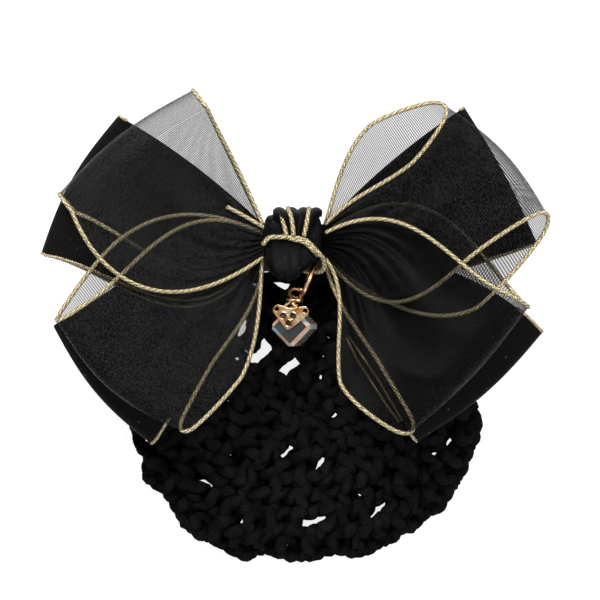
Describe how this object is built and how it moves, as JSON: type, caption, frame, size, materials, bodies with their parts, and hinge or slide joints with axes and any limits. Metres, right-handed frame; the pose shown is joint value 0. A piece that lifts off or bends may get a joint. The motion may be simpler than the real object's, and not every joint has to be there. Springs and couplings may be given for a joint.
{
  "type": "bun net hair clip",
  "caption": "Hair clip with a bow of black ribbon and organza loops edged in gold, a crystal cube charm and a crocheted net bag for a bun.",
  "frame": {"origin": "centre of the flat back of the barrette, under the knot", "axes": "+X across the bow to its right as seen from the front, +Y up the bow away from the net, +Z out of the bow's front"},
  "size_m": [0.1271, 0.1179, 0.0373],
  "materials": {
    "barrette_steel": "satin",
    "ribbed_ribbon": "ribbed woven",
    "organza": "sheer woven",
    "gold_thread": "metallic thread",
    "polished_gold": "polished",
    "crystal": "cut and polished",
    "net_yarn": "matte crochet"
  },
  "bodies": {
    "root": {"barrette_clip": "barrette_steel", "back_loop_upper_left": "ribbed_ribbon", "back_loop_lower_left": "ribbed_ribbon", "back_loop_upper_right": "ribbed_ribbon", "back_loop_lower_right": "ribbed_ribbon", "organza_loop_upper_left": "organza", "organza_loop_lower_left": "organza", "organza_loop_upper_right": "organza", "organza_loop_lower_right": "organza", "knot": "organza", "knot_pleats": "organza", "knot_cord": "gold_thread", "jump_ring": "polished_gold", "charm_cap": "polished_gold", "charm_crystal": "crystal", "net_bag": "net_yarn"}
  },
  "joints": []
}
